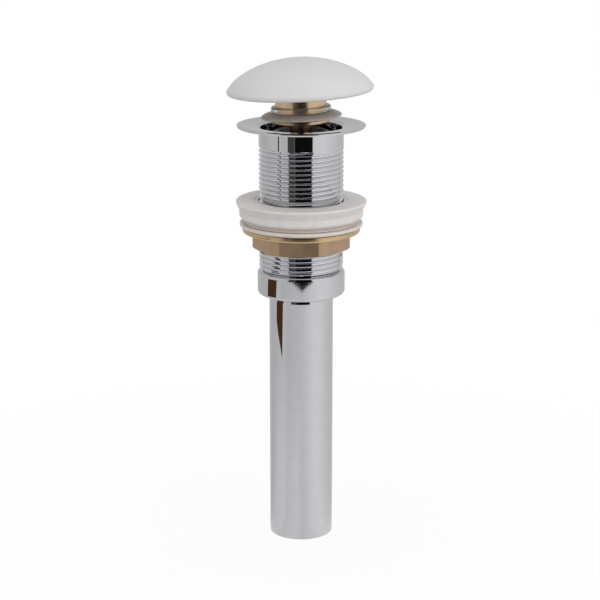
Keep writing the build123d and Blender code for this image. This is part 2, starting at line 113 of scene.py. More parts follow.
class WasteSizes(bpy.types.PropertyGroup):
    """Sizes of the threads, the bridge, the core spring, the lean and the soft rims"""

    barrel_diameter: length("Barrel diameter", "Across the crests of the barrel's thread", 41.9)
    barrel_pitch: length("Barrel pitch", "One turn of the barrel's thread, eleven to the inch", 2.309)
    barrel_depth: length("Barrel thread depth", "From crest to root", 1.48)
    barrel_end: height("Barrel end", "Where the barrel steps down to the spigot", -71.6)
    thread_start: height("Thread start", "Height that sets where the crests stand on each side", -12.23)
    last_turn: FloatProperty(
        name="Last turn",
        description="Turns above the start where the groove has faded out",
        default=0.625,
    )
    run_out: FloatProperty(
        name="Run-out",
        description="Turns over which the groove fades into the plain neck",
        default=0.36,
        min=0.01,
    )
    spigot_diameter: length("Spigot diameter", "Across the crests of the collar's thread", 38.0)
    spigot_pitch: length("Spigot pitch", "One turn of the collar's thread", 1.5)
    spigot_depth: length("Spigot thread depth", "From crest to root", 0.6)
    spigot_end: height("Spigot end", "Lower end of the waste body", -77.5)
    segments: whole("Segments", "Facets round the axis", ROUND, 48, 256)
    thread_rows: whole("Rows per turn", "Facets over one pitch", 12, 12, 24)
    bridge_arms: whole("Bridge arms", "Arms that carry the core", 4, 3, 6)
    spring_wire: length("Spring wire", "Thickness of the core spring's wire", 1.2)
    spring_bore: length("Spring bore", "Inside width of the core spring", 6.7)
    spring_turns: whole("Spring turns", "Two closed ones and the rest open", 8, 4, 24)
    press_travel: length("Press travel", "How far the cap goes down", 13.5)
    head_lean: FloatProperty(
        name="Head lean",
        description="How far the cap hangs to the left in the slack of its screw",
        default=math.radians(2.5),
        subtype="ANGLE",
    )
    lean_height: height("Lean height", "Height of the axis that the head leans about", 5.9)
    rim_wave: length("Rim wave", "How far the soft rims are out of flat", 0.12)


class WasteColours(bpy.types.PropertyGroup):
    """Colours of the metals, the ceramic and the soft pieces"""

    chrome: tone("Chrome", "Bright chromium plate", (0.56, 0.562, 0.578))
    brass: tone("Brass", "Bare turned brass", (0.66, 0.475, 0.3))
    satin_brass: tone("Satin brass", "Cast nut, tumbled and machined", (0.49, 0.338, 0.218))
    ceramic: tone("Ceramic", "Satin white glaze", (0.63, 0.618, 0.625))
    clear_silicone: tone("Frosted silicone", "Seal of the head", (0.77, 0.69, 0.64))
    clear_ring: tone("Clear silicone", "Ring round the neck", (1.0, 0.95, 0.86))
    milky_silicone: tone("Milky silicone", "Gasket under the basin", (0.74, 0.715, 0.70))
    white_plastic: tone("White plastic", "Slip washer", (0.80, 0.755, 0.71))
    black_rubber: tone("Black rubber", "Wiper and tail seal", (0.022, 0.021, 0.021))
    white_acetal: tone("White acetal", "Index rotor", (0.66, 0.65, 0.62))
    grey_acetal: tone("Grey acetal", "Index crown", (0.16, 0.17, 0.18))
    spring_steel: tone("Spring steel", "Core spring and clip", (0.50, 0.49, 0.47))
    stage_white: tone("Stage white", "Pale floor", (0.6, 0.6, 0.6))


# Node trees

MIX_UNDER, MIX_OVER, MIX_RESULT = 6, 7, 2  # colour sockets of a Mix node


def shade(colour, factor):
    """Colour made darker or lighter by a factor."""
    return tuple(min(1.0, part * factor) for part in colour)


def retone(colour, *factors):
    """Colour whose red, green and blue each get a factor of their own."""
    return tuple(part * factor for part, factor in zip(colour, factors))


class NodeBench:
    """Adds nodes to one tree and wires them up as they are made."""

    def __init__(self, tree):
        self.tree = tree

    def feed(self, socket, value):
        """Links a socket to the input, or writes a plain value into it."""
        if isinstance(value, bpy.types.NodeSocket):
            self.tree.links.new(value, socket)
        else:
            socket.default_value = value

    def add(self, kind, inputs=None, outlet=0, **settings):
        """New node with its settings and inputs, as one of its outputs."""
        node = self.tree.nodes.new(kind)
        for key, value in settings.items():
            setattr(node, key, value)
        for key, value in (inputs or {}).items():
            self.feed(node.inputs[key], value)
        return node.outputs[outlet]

    def calc(self, operation, *values):
        """Math node."""
        return self.add("ShaderNodeMath", dict(enumerate(values)), operation=operation)

    def remap(self, value, low, high, to_low=0.0, to_high=1.0, kind="LINEAR"):
        """Map Range node, held within its limits."""
        spans = {"Value": value, "From Min": low, "From Max": high, "To Min": to_low, "To Max": to_high}
        return self.add("ShaderNodeMapRange", spans, interpolation_type=kind)

    def window(self, value, low, high, soft):
        """One between two limits, fading to nought over a soft edge on each side."""
        rise = self.remap(value, low - soft, low + soft, kind="SMOOTHSTEP")
        fall = self.remap(value, high - soft, high + soft, 1.0, 0.0, kind="SMOOTHSTEP")
        return self.calc("MULTIPLY", rise, fall)

    def parts(self, vector):
        """The x, y and z of a vector."""
        split = self.tree.nodes.new("ShaderNodeSeparateXYZ")
        self.feed(split.inputs[0], vector)
        return split.outputs

    def reach(self, x, y):
        """Distance from the upright axis."""
        squares = self.calc("ADD", self.calc("MULTIPLY", x, x), self.calc("MULTIPLY", y, y))
        return self.calc("SQRT", squares)


class Finish(NodeBench):
    """Material of one surface, with a Principled shader and procedural detail."""

    def __init__(self, name, lean=0.0, lean_z=0.0):
        self.material = bpy.data.materials.new(name)
        self.material.use_nodes = True
        super().__init__(self.material.node_tree)
        self.shader = self.tree.nodes["Principled BSDF"]
        place = self.add("ShaderNodeTexCoord", outlet="Object")
        if lean:
            upright = {"Location": (-lean_z * math.sin(lean), 0.0, 0.0), "Rotation": (0.0, lean, 0.0)}
            place = self.add("ShaderNodeMapping", {"Vector": place, **upright})
        self.place = place

    def plain(self, **sockets):
        """Values that are the same all over the surface."""
        for name, value in sockets.items():
            self.shader.inputs[name.replace("_", " ")].default_value = value

    def noise(self, scale, detail=3.0, stretch=(1.0, 1.0, 1.0)):
        """Noise of a given scale per metre, stretched along an axis if asked."""
        place = self.place
        if stretch != (1.0, 1.0, 1.0):
            place = self.add("ShaderNodeMapping", {"Vector": place, "Scale": stretch})
        inputs = {"Vector": place, "Scale": scale, "Detail": detail, "Roughness": 0.55}
        return self.add("ShaderNodeTexNoise", inputs)

    def turned_place(self):
        """Radius and height of a point on a turned piece."""
        x, y, z = self.parts(self.place)
        return self.reach(x, y), z

    def turning_marks(self, per_metre):
        """Fine rings left by a lathe tool, round walls and on end faces alike."""
        run = self.calc("MULTIPLY", self.calc("ADD", *self.turned_place()), per_metre)
        inputs = {"W": run, "Scale": 1.0, "Detail": 2.0}
        return self.add("ShaderNodeTexNoise", inputs, noise_dimensions="1D")

    def mix(self, share, under, over):
        """Sets the base colour to one that goes from the tone under to the tone over."""
        inputs = {"Factor": share, MIX_UNDER: under, MIX_OVER: (*over, 1.0)}
        mixed = self.add("ShaderNodeMix", inputs, outlet=MIX_RESULT, data_type="RGBA")
        self.feed(self.shader.inputs["Base Color"], mixed)

    def colour(self, pattern, base, dark, light, low=0.3, high=0.7):
        """Base colour that wanders over a pattern between a darker and a lighter shade."""
        self.mix(self.remap(pattern, low, high), (*shade(base, dark), 1.0), shade(base, light))

    def tint(self, share, over):
        """Lays another tone over the base colour where the share is one."""
        self.mix(share, self.shader.inputs["Base Color"].links[0].from_socket, over)

    def gloss(self, pattern, smooth, rough, low=0.3, high=0.7):
        """Roughness that wanders between two values over a pattern."""
        self.feed(self.shader.inputs["Roughness"], self.remap(pattern, low, high, smooth, rough))

    def relief(self, *layers):
        """Bumps from (pattern, depth in metres, strength) layers, one on top of the other."""
        normal = None
        for pattern, depth, strength in layers:
            inputs = {"Height": pattern, "Distance": depth, "Strength": strength}
            if normal is not None:
                inputs["Normal"] = normal
            normal = self.add("ShaderNodeBump", inputs)
        self.feed(self.shader.inputs["Normal"], normal)


# Finishes of the waste

# Metres where a finish changes, and over how much
# Thread grooves, where the chrome's colour is painted lighter to stand in for reflected light
PAINTED_GLOW_GROOVE_RADII = (0.0193, 0.0208)
PAINTED_GLOW_GROOVE_HEIGHTS = (-0.072, -0.0085)
# Foot of the nut's flange; above it the brass is glossier and tinted brighter, partly as a painted
# highlight
NUT_FLANGE_FOOT = (-0.0525, -0.0521)
# Height below which the gasket's colour gets painted shade and painted brass-coloured light
GASKET_PAINTED_SHADE_BELOW = -0.0448
PAINTED_SHADE_FADE = 0.0009


def chrome_finish(colours):
    """Bright plate over polished brass: a faint orange peel, wipe marks, and a painted lighter
    reflection in the thread's grooves.
    """
    f = Finish("chrome")
    f.plain(Metallic=1.0)
    haze = f.noise(190.0, 4.0)
    wipes = f.noise(700.0, 2.0, (1.0, 1.0, 0.12))
    radius, z = f.turned_place()
    painted_glow_groove = f.window(radius, *PAINTED_GLOW_GROOVE_RADII, 0.0001)
    threaded = f.window(z, *PAINTED_GLOW_GROOVE_HEIGHTS, 0.0003)
    f.colour(haze, colours.chrome, 0.97, 1.02)
    # Painted reflection: the chrome is a quarter lighter in the thread's grooves
    f.tint(f.calc("MULTIPLY", painted_glow_groove, threaded), shade(colours.chrome, 1.25))
    f.gloss(f.calc("MULTIPLY", haze, f.calc("ADD", wipes, 0.5)), 0.02, 0.05, 0.2, 0.75)
    f.relief((f.noise(75.0, 1.0), 0.00006, 0.25), (f.noise(1500.0, 2.0), 0.000004, 0.3))
    return f.material


def brass_finish(colours, name="brass", lean=0.0, lean_z=0.0):
    """Bare brass from the lathe, with tool rings and a little tarnish."""
    f = Finish(name, lean, lean_z)
    f.plain(Metallic=1.0)
    rings = f.turning_marks(5200.0)
    tarnish = f.noise(160.0, 5.0)
    f.colour(tarnish, colours.brass, 0.86, 1.04)
    f.gloss(rings, 0.17, 0.32)
    f.relief((rings, 0.00003, 0.35))
    return f.material


def satin_brass_finish(colours):
    """Cast brass nut: tumbled skin, draw marks on the flats and a glossier faced flange, whose brighter,
    yellower colour is partly the faced brass and partly a painted highlight.
    """
    f = Finish("satin_brass")
    f.plain(Metallic=1.0)
    skin = f.noise(2400.0, 3.0)
    cloud = f.noise(120.0, 4.0)
    draw = f.noise(2600.0, 2.0, (1.0, 1.0, 0.05))
    flange = f.remap(f.turned_place()[1], *NUT_FLANGE_FOOT)
    f.colour(cloud, colours.satin_brass, 0.88, 1.08)
    # Partly the faced brass and partly a painted highlight: the flange is tinted brighter and yellower
    f.tint(flange, retone(colours.satin_brass, 1.2, 1.22, 1.1))
    dull = f.remap(f.calc("MULTIPLY", cloud, f.calc("ADD", draw, 0.5)), 0.2, 0.8, 0.36, 0.5)
    f.feed(f.shader.inputs["Roughness"], f.calc("MULTIPLY_ADD", flange, -0.2, dull))
    f.relief((skin, 0.00002, 0.35), (draw, 0.00001, 0.3), (f.turning_marks(3800.0), 0.00002, 0.2))
    return f.material


def ceramic_finish(colours, lean, lean_z):
    """Satin glaze over white ceramic: a slow wave, a fine tooth and a faint cloud."""
    f = Finish("ceramic", lean, lean_z)
    f.plain(Coat_Weight=0.12, Coat_Roughness=0.35, Subsurface_Weight=0.05, Subsurface_Scale=0.001)
    cloud = f.noise(45.0, 3.0)
    tooth = f.noise(3200.0, 2.0)
    f.colour(cloud, colours.ceramic, 0.985, 1.015)
    f.gloss(tooth, 0.42, 0.52)
    f.relief((f.noise(60.0, 1.0), 0.00012, 0.3), (tooth, 0.000006, 0.25))
    return f.material


def silicone_finish(name, colour, through, roughness, lean=0.0, lean_z=0.0, painted_shade_below=None):
    """Moulded silicone: light passes into it, and dust and mould grain dull its skin.

    Below a given height its colour turns darker and warmer: painted shade in the crevice, and painted
    brass-coloured light from the nut beneath.
    """
    f = Finish(name, lean, lean_z)
    f.plain(
        Transmission_Weight=through,
        IOR=1.41,
        Subsurface_Weight=0.35 * (1.0 - through),
        Subsurface_Scale=0.002,
        Subsurface_Radius=(1.0, 0.85, 0.8),
    )
    dust = f.noise(320.0, 5.0)
    grain = f.noise(2800.0, 2.0)
    f.colour(dust, colour, 0.94, 1.04)
    if painted_shade_below is not None:
        # Painted shade and painted brass-coloured light: darker, warmer colour below the given height
        low = f.remap(f.turned_place()[1], painted_shade_below, painted_shade_below - PAINTED_SHADE_FADE)
        f.tint(low, retone(colour, 0.92, 0.82, 0.74))
    f.gloss(dust, roughness, roughness + 0.14)
    f.relief((grain, 0.00001, 0.3), (f.noise(140.0, 2.0), 0.00008, 0.25))
    return f.material


def plastic_finish(name, colour, roughness, through=0.0):
    """Injection-moulded plastic with flow clouds and a fine spark-eroded grain."""
    f = Finish(name)
    f.plain(
        IOR=1.48,
        Transmission_Weight=through,
        Subsurface_Weight=0.15,
        Subsurface_Scale=0.0008,
    )
    flow = f.noise(150.0, 3.0, (1.0, 1.0, 0.4))
    f.colour(flow, colour, 0.95, 1.03)
    f.gloss(flow, roughness, roughness + 0.1)
    f.relief((f.noise(3600.0, 2.0), 0.000008, 0.35))
    return f.material


def rubber_finish(colours):
    """Black rubber with a dusty bloom."""
    f = Finish("black_rubber")
    bloom = f.noise(420.0, 5.0)
    f.colour(bloom, colours.black_rubber, 1.0, 1.9, 0.35, 0.8)
    f.gloss(bloom, 0.5, 0.7)
    f.relief((f.noise(2600.0, 2.0), 0.000015, 0.4))
    return f.material


def spring_finish(colours):
    """Drawn steel wire with lengthwise marks and a thin oil film."""
    f = Finish("spring_steel")
    f.plain(Metallic=1.0)
    film = f.noise(260.0, 4.0)
    f.colour(film, colours.spring_steel, 0.8, 1.1)
    f.gloss(film, 0.2, 0.36)
    f.relief((f.noise(3000.0, 2.0, (1.0, 1.0, 2.5)), 0.00001, 0.3))
    return f.material


# Turned shapes

EDGE_HOLD = 0.12  # mm from a rounded edge to the next ring of its wall
ON_AXIS = 1e-6  # mm


def rounded(corners, closed=True, steps=6):
    """Outline of (radius, height) points in millimetres, from corners that also give their bend.

    Long straight runs get a point close to each end, so that the shading of a
    rounded edge doesn't reach out over the wall beside it.
    """
    path = []
    count = len(corners)
    for index, (r, z, bend) in enumerate(corners):
        here = Vector((r, z))
        loose_end = not closed and index in (0, count - 1)
        if bend == 0 or loose_end:
            path.append([here])
            continue
        back = (Vector(corners[index - 1][:2]) - here).normalized()
        ahead = (Vector(corners[(index + 1) % count][:2]) - here).normalized()
        half = back.angle(ahead) / 2
        centre = here + (back + ahead).normalized() * bend / math.sin(half)
        first = here + back * bend / math.tan(half) - centre
        last = here + ahead * bend / math.tan(half) - centre
        sweep = math.atan2(first.x * last.y - first.y * last.x, first.dot(last))
        arc = [centre + Matrix.Rotation(sweep * step / steps, 2) @ first for step in range(steps + 1)]
        path.append(arc)
    points = []
    for index, arc in enumerate(path):
        points += arc
        if index == count - 1 and not closed:
            break
        start, end = arc[-1], path[(index + 1) % count][0]
        run = end - start
        if run.length > 4 * EDGE_HOLD:
            step = run.normalized() * EDGE_HOLD
            points += [start + step, end - step]
    return [(p.x, p.y) for p in points]


def add_turned(bm, outline, closed=True, segments=ROUND, shape=None):
    """Turns an outline round the axis into a mesh. Outer walls run up and inner ones run down."""
    rings = []
    for r, z in outline:
        if r < ON_AXIS:
            rings.append([bm.verts.new((0.0, 0.0, z * MM))])
            continue
        ring = []
        for index in range(segments):
            angle = math.tau * index / segments + math.pi / 2
            rr, zz = shape(r, z, angle) if shape else (r, z)
            ring.append(bm.verts.new((rr * MM * math.cos(angle), rr * MM * math.sin(angle), zz * MM)))
        rings.append(ring)
    pairs = list(zip(rings, rings[1:]))
    if closed:
        pairs.append((rings[-1], rings[0]))
    for low, high in pairs:
        for index in range(segments):
            after = (index + 1) % segments
            corners = [low[index % len(low)], low[after % len(low)]]
            corners += [high[after % len(high)], high[index % len(high)]]
            corners = list(dict.fromkeys(corners))
            if len(corners) > 2:
                bm.faces.new(corners)


def skin_rings(bm, rings):
    """Walls between rings of equal length, and a flat cap on each end."""
    for near, far in zip(rings, rings[1:]):
        for index in range(len(near)):
            after = (index + 1) % len(near)
            bm.faces.new((near[index], near[after], far[after], far[index]))
    bm.faces.new(rings[0])
    bm.faces.new(reversed(rings[-1]))


def lean_matrix(sizes):
    """The head's lean to the left about its loose screw."""
    pivot = Matrix.Translation((0.0, 0.0, sizes.lean_height))
    return pivot @ Matrix.Rotation(-sizes.head_lean, 4, "Y") @ pivot.inverted()


def finish_mesh(name, bm, material, crisp=math.pi):
    """Object from a mesh whose doubles are merged and whose faces point outwards.

    Edges that turn by more than the crisp angle keep a hard corner.
    """
    bmesh.ops.remove_doubles(bm, verts=bm.verts, dist=MERGE_DISTANCE)
    bmesh.ops.dissolve_degenerate(bm, edges=bm.edges, dist=SLIVER)
    bmesh.ops.recalc_face_normals(bm, faces=bm.faces)
    for face in bm.faces:
        face.smooth = True
    for edge in bm.edges:
        edge.smooth = edge.calc_face_angle(0.0) < crisp
    mesh = bpy.data.meshes.new(name)
    bm.to_mesh(mesh)
    bm.free()
    mesh.materials.clear()  # puts every face back in the first slot
    mesh.materials.append(material)
    piece = bpy.data.objects.new(name, mesh)
    bpy.context.scene.collection.objects.link(piece)
    return piece


def place_piece(piece, body, slot, *nodes):
    """Hands a finished piece to the frame in place of its CAD solids."""
    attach(piece, body)
    if nodes:
        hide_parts(*nodes)


def turned_piece(name, outline, body, slot, node, finish=None, shape=None, matrix=None):
    """Turned piece with a closed outline, in its slot's finish and in place of a CAD solid."""
    bm = bmesh.new()
    add_turned(bm, outline, shape=shape)
    if matrix is not None:
        bmesh.ops.transform(bm, matrix=matrix, verts=bm.verts)
    piece = finish_mesh(name, bm, bpy.data.materials[finish or slot])
    place_piece(piece, body, slot, node)


# Geometry Nodes trees of the waste body

CREST_SHARE = 1 / 6  # flat of a crest or a root, as a share of half a pitch
ROW_GUARD = 1e-5  # turns, so that a row on a whole turn isn't counted to the one below
SLEEVE_SIZES = (
    "Crest radius",
    "Thread depth",
    "Pitch",
    "Top",
    "Bottom",
    "Last turn",
    "Run-out",
    "Thread start",
    "End radius",
    "Chamfer slope",
)
SLEEVE_INPUTS = (
    *((label, "NodeSocketFloat") for label in SLEEVE_SIZES),
    ("Segments", "NodeSocketInt"),
    ("Rows per turn", "NodeSocketInt"),
    ("Finish", "NodeSocketMaterial"),
)


def new_geometry_tree(name, inputs, takes_geometry=False):
    """Empty Geometry Nodes tree with named inputs, its group input node and its bench."""
    tree = bpy.data.node_groups.new(name, "GeometryNodeTree")
    if takes_geometry:
        tree.interface.new_socket("Geometry", in_out="INPUT", socket_type="NodeSocketGeometry")
    for label, kind in inputs:
        tree.interface.new_socket(label, in_out="INPUT", socket_type=kind)
    tree.interface.new_socket("Geometry", in_out="OUTPUT", socket_type="NodeSocketGeometry")
    bench = NodeBench(tree)
    given = tree.nodes.new("NodeGroupInput").outputs
    return tree, bench, given


def close_geometry_tree(tree, bench, geometry, material):
    """Ends a tree in Realize Instances and Set Material."""
    realized = bench.add("GeometryNodeRealizeInstances", {0: geometry})
    painted = bench.add("GeometryNodeSetMaterial", {"Geometry": realized, "Material": material})
    bench.feed(tree.nodes.new("NodeGroupOutput").inputs[0], painted)


def threaded_sleeve_tree():
    """Outer wall of a threaded barrel, as one grid whose rows climb the helix.

    Each row keeps its place on the thread's profile, so crests and roots stay
    crisp. Rows that would pass an end are held there and merge into its rim.
    """
    tree, b, given = new_geometry_tree("threaded_sleeve", SLEEVE_INPUTS)
    pitch, top, bottom = given["Pitch"], given["Top"], given["Bottom"]
    rows = given["Rows per turn"]
    turns = b.calc("ADD", b.calc("DIVIDE", b.calc("SUBTRACT", top, bottom), pitch), 1.0)
    row_count = b.calc("ADD", b.calc("CEIL", b.calc("MULTIPLY", turns, rows)), 1.0)
    counts = {
        "Size X": 1.0,
        "Size Y": 1.0,
        "Vertices X": b.calc("ADD", given["Segments"], 1.0),
        "Vertices Y": b.calc("ADD", row_count, 1.0),
    }
    grid = b.add("GeometryNodeMeshGrid", counts)
    across, along, _ = b.parts(b.add("GeometryNodeInputPosition"))
    around = b.calc("ADD", across, 0.5)
    climbed = b.calc("MULTIPLY", b.calc("ADD", along, 0.5), b.calc("DIVIDE", row_count, rows))
    start = given["Thread start"]
    lowest = b.calc("DIVIDE", b.calc("SUBTRACT", b.calc("SUBTRACT", bottom, pitch), start), pitch)
    first = b.calc("DIVIDE", b.calc("FLOOR", b.calc("MULTIPLY", lowest, rows)), rows)
    count = b.calc("ADD", b.calc("ADD", climbed, first), ROW_GUARD)
    free = b.calc("MULTIPLY_ADD", b.calc("ADD", count, around), pitch, start)
    held = b.calc("MAXIMUM", b.calc("MINIMUM", free, top), bottom)
    flank = b.calc("ABSOLUTE", b.calc("MULTIPLY_ADD", b.calc("FRACT", count), 2.0, -1.0))
    groove = b.remap(flank, CREST_SHARE, 1 - CREST_SHARE, 1.0, 0.0)
    turn = b.calc("ADD", b.calc("FLOOR", count), around)
    last = given["Last turn"]
    fade = b.remap(turn, b.calc("SUBTRACT", last, given["Run-out"]), last, 1.0, 0.0)
    tool = b.calc("MAXIMUM", b.calc("SUBTRACT", b.calc("ADD", groove, fade), 1.0), 0.0)
    cut = b.calc("MULTIPLY", tool, given["Thread depth"])
    wall = b.calc("SUBTRACT", given["Crest radius"], cut)
    risen = b.calc("SUBTRACT", held, bottom)
    chamfer = b.calc("MULTIPLY_ADD", risen, given["Chamfer slope"], given["End radius"])
    radius = b.calc("MINIMUM", wall, chamfer)
    angle = b.calc("MULTIPLY_ADD", around, math.tau, math.pi / 2)
    x = b.calc("MULTIPLY", radius, b.calc("COSINE", angle))
    y = b.calc("MULTIPLY", radius, b.calc("SINE", angle))
    spot = b.add("ShaderNodeCombineXYZ", {0: x, 1: y, 2: held})
    wrapped = b.add("GeometryNodeSetPosition", {"Geometry": grid, "Position": spot})
    merged = b.add("GeometryNodeMergeByDistance", {"Geometry": wrapped, "Distance": MERGE_DISTANCE})
    close_geometry_tree(tree, b, merged, given["Finish"])
    return tree


def repeat_around_tree():
    """Copies of a shape round the axis."""
    inputs = (
        ("Count", "NodeSocketInt"),
        ("First angle", "NodeSocketFloat"),
        ("Finish", "NodeSocketMaterial"),
    )
    tree, b, given = new_geometry_tree("repeat_around", inputs, takes_geometry=True)
    line = b.add("GeometryNodeMeshLine", {"Count": given["Count"], "Offset": (0.0, 0.0, 0.0)})
    step = b.calc("DIVIDE", math.tau, given["Count"])
    turn = b.calc("MULTIPLY_ADD", b.add("GeometryNodeInputIndex"), step, given["First angle"])
    spin = b.add("ShaderNodeCombineXYZ", {2: turn})
    stamp = {"Points": line, "Instance": given["Geometry"], "Rotation": spin}
    copies = b.add("GeometryNodeInstanceOnPoints", stamp)
    close_geometry_tree(tree, b, copies, given["Finish"])
    return tree


def grown_mesh(tree, values, start=None):
    """Plain mesh that a Geometry Nodes tree makes from named values, and from a mesh if it takes one."""
    mesh = start or bpy.data.meshes.new(tree.name)
    holder = bpy.data.objects.new(tree.name, mesh)
    bpy.context.scene.collection.objects.link(holder)
    modifier = holder.modifiers.new(tree.name, "NODES")
    modifier.node_group = tree
    for item in tree.interface.items_tree:
        if item.in_out == "INPUT" and item.name in values:
            modifier[item.identifier] = values[item.name]
    graph = bpy.context.evaluated_depsgraph_get()
    grown = bpy.data.meshes.new_from_object(holder.evaluated_get(graph))
    bpy.data.objects.remove(holder)
    if not grown.polygons:
        raise RuntimeError(f"the tree {tree.name} made no faces")
    return grown


# Outlines, as (radius, height, bend) corners in millimetres

WALL_TOP = -1.2  # where the threaded wall takes over from the flange's fillet

# Flange from the threaded wall outwards, then the seal's chamber and the bore down to the spigot
FLANGE_AND_BORE = (
    (20.95, WALL_TOP, 0),
    (20.95, 0.0, 1.15),
    (31.4, 0.0, 0.1),
    (31.8, 0.72, 0.12),
    (31.7, 1.1, 0.1),
    (29.6, 1.2, 3.0),
    (22.4, 0.62, 0.22),
    (20.2, -0.2, 0.15),
    (20.2, -9.2, 0.25),
    (17.9, -11.5, 0.3),
    (17.9, -77.5, 0.2),
    (18.4, -77.5, 0),
)

# Tail tube from its square end up to the flare, with a slight neck under the collar
TAIL_TUBE = (
    (15.0, -211.1, 0.25),
    (16.0, -211.1, 0.3),
    (16.0, -86.4, 0),
    (15.94, -84.9, 0),
    (15.94, -83.9, 0.1),
    (16.25, -83.4, 0.1),
    (16.25, -80.9, 0.2),
    (18.7, -80.9, 0.4),
    (18.7, -79.5, 0.4),
    (15.0, -79.5, 0.6),
)

# Coupling collar
COLLAR = (
    (16.31, -83.9, 0.3),
    (20.3, -83.9, 0.3),
    (21.3, -83.35, 0.8),
    (21.85, -82.4, 0.7),
    (21.85, -73.2, 0.7),
    (21.38, -72.25, 0.35),
    (20.8, -71.9, 0.25),
    (19.05, -71.9, 0.25),
    (19.05, -81.0, 0.2),
    (16.31, -81.0, 0.2),
)

# Gasket from its bore to its recessed foot, up to the rim and over the top
GASKET = (
    (21.25, -36.4, 0.4),
    (21.25, -47.4, 0.4),
    (28.2, -47.4, 0.3),
    (28.0, -45.9, 0.6),
    (29.6, -45.3, 0.5),
    (30.75, -44.0, 0.6),
    (30.75, -40.8, 0.7),
    (32.45, -37.3, 0.25),
    (32.45, -36.4, 0.35),
    (23.2, -36.4, 0.2),
    (22.9, -36.65, 0.2),
)

# Head seal from its bore along the underside to the lip, then points of its domed top
SEAL_UNDER = (
    (8.0, 7.6, 0.1),
    (8.0, 3.9, 0.1),
    (12.4, 3.9, 0.5),
    (14.0, 4.25, 0.6),
    (17.0, 4.72, 2.0),
    (19.7, 5.1, 0.15),
    (19.95, 5.3, 0.1),
)
SEAL_TOP = ((19.9, 5.55), (19.4, 6.0), (18.2, 6.6), (16.6, 7.15), (14.9, 7.5), (14.0, 7.6), (9.0, 7.6))

# Plain rings
BRIDGE_HUB = ((4.0, -74.0, 0.3), (7.5, -74.0, 0.5), (7.5, -65.0, 0.5), (4.0, -65.0, 0.3))
NECK_RING = ((11.95, 10.5, 0.1), (11.95, 7.95, 0.1), (14.68, 7.95, 0.85), (14.68, 10.5, 0.85))
SLIP_WASHER = ((21.25, -47.5, 0.2), (21.25, -49.3, 0.2), (30.6, -49.3, 0.85), (30.6, -47.5, 0.4))
TAIL_SEAL = ((15.0, -79.5, 0.25), (18.7, -79.5, 0.35), (18.7, -77.6, 0.35), (15.0, -77.6, 0.25))


# Operators, one for each piece or group of like pieces

# Millimetres and turns of the waste body
BARREL_CHAMFER = 1.35  # radius over height at the barrel's lower end
SPIGOT_CHAMFER = 0.6  # cut off the spigot's lower edge
SPIGOT_LAST_TURN = -48.6
SPIGOT_ROWS = 12
CRISP_ANGLE = 35.0  # degrees past which an edge isn't shaded smooth
ARM_STATIONS = ((6.6, 1.85), (7.6, 1.6), (17.0, 1.6), (18.15, 1.85))  # out from the axis, half width
ARM_HEIGHT = -70.5
ARM_LIFT = 0.9  # half of the arm's straight side
ARM_FACETS = 24


class WASTE_OT_body(bpy.types.Operator):
    """Flange, threaded barrel, spigot and bridge of the chromed waste body"""

    bl_idname = "waste.body"
    bl_label = "Waste body"

    def execute(self, context):
        sizes = context.scene.waste_sizes
        chrome = bpy.data.materials["chrome"]
        sleeve = threaded_sleeve_tree()
        barrel_r = sizes.barrel_diameter / 2
        spigot_r = sizes.spigot_diameter / 2
        shared = {"Segments": sizes.segments, "Finish": chrome, "Run-out": sizes.run_out}
        barrel = grown_mesh(
            sleeve,
            {
                **shared,
                "Crest radius": barrel_r,
                "Thread depth": sizes.barrel_depth,
                "Pitch": sizes.barrel_pitch,
                "Top": WALL_TOP * MM,
                "Bottom": sizes.barrel_end,
                "Last turn": sizes.last_turn,
                "Thread start": sizes.thread_start,
                "End radius": spigot_r,
                "Chamfer slope": BARREL_CHAMFER,
                "Rows per turn": sizes.thread_rows,
            },
        )
        spigot = grown_mesh(
            sleeve,
            {
                **shared,
                "Crest radius": spigot_r,
                "Thread depth": sizes.spigot_depth,
                "Pitch": sizes.spigot_pitch,
                "Top": sizes.barrel_end,
                "Bottom": sizes.spigot_end,
                "Last turn": SPIGOT_LAST_TURN,
                "Thread start": 0.0,
                "End radius": spigot_r - SPIGOT_CHAMFER * MM,
                "Chamfer slope": 1.0,
                "Rows per turn": SPIGOT_ROWS,
            },
        )
        bm = bmesh.new()
        bm.from_mesh(barrel)
        bm.from_mesh(spigot)
        turned = rounded(FLANGE_AND_BORE, closed=False)
        add_turned(bm, turned, closed=False, segments=sizes.segments)
        add_turned(bm, rounded(BRIDGE_HUB), segments=COARSE_ROUND)
        bm.from_mesh(self.bridge_arms(sizes, chrome))
        piece = finish_mesh("threaded_waste_body", bm, chrome, math.radians(CRISP_ANGLE))
        place_piece(piece, "waste", "chrome", "waste_body")
        return {"FINISHED"}

    def bridge_arms(self, sizes, chrome):
        """One rounded arm, repeated round the hub."""
        bm = bmesh.new()
        rings = []
        for x, half in ARM_STATIONS:
            ring = []
            for index in range(ARM_FACETS):
                angle = math.tau * index / ARM_FACETS
                lift = ARM_LIFT if math.sin(angle) > 0 else -ARM_LIFT
                y = half * math.cos(angle)
                z = ARM_HEIGHT + lift + half * math.sin(angle)
                ring.append(bm.verts.new((x * MM, y * MM, z * MM)))
            rings.append(ring)
        skin_rings(bm, rings)
        bmesh.ops.recalc_face_normals(bm, faces=bm.faces)
        arm = bpy.data.meshes.new("bridge_arm")
        bm.to_mesh(arm)
        bm.free()
        arms = sizes.bridge_arms
        values = {"Count": arms, "First angle": math.pi / arms, "Finish": chrome}
        return grown_mesh(repeat_around_tree(), values, arm)


